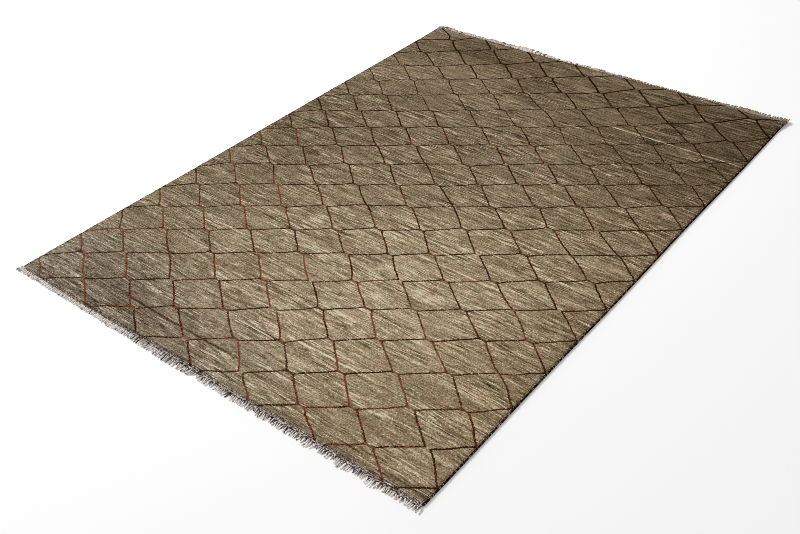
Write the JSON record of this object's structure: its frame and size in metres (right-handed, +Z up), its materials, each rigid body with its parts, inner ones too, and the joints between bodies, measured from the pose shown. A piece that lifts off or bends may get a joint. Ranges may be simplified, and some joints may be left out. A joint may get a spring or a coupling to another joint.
{
  "type": "gabbeh rug",
  "caption": "Hand-knotted wool gabbeh rug lying flat, with a streaked greige pile, a thin diamond lattice, dark overcast sides and a short fringe at both ends.",
  "frame": {"origin": "on the floor, under the middle of the rug", "axes": "+X across the rug along its wefts, +Y along the rug from the near fringe to the far one, +Z up out of the pile"},
  "size_m": [1.715, 2.4, 0.012],
  "materials": {
    "pile": "cut wool pile with streaks of lighter and darker greige along the wefts, and thin brown and rust lines",
    "selvedge": "dark brown wool wrapped round the outer warps",
    "fringe": "cut, twisted ivory and grey wool warp ends"
  },
  "bodies": {
    "root": {"knotted_field": "pile", "selvedge_left": "selvedge", "selvedge_right": "selvedge", "fringe_near": "fringe", "fringe_far": "fringe"}
  },
  "joints": []
}
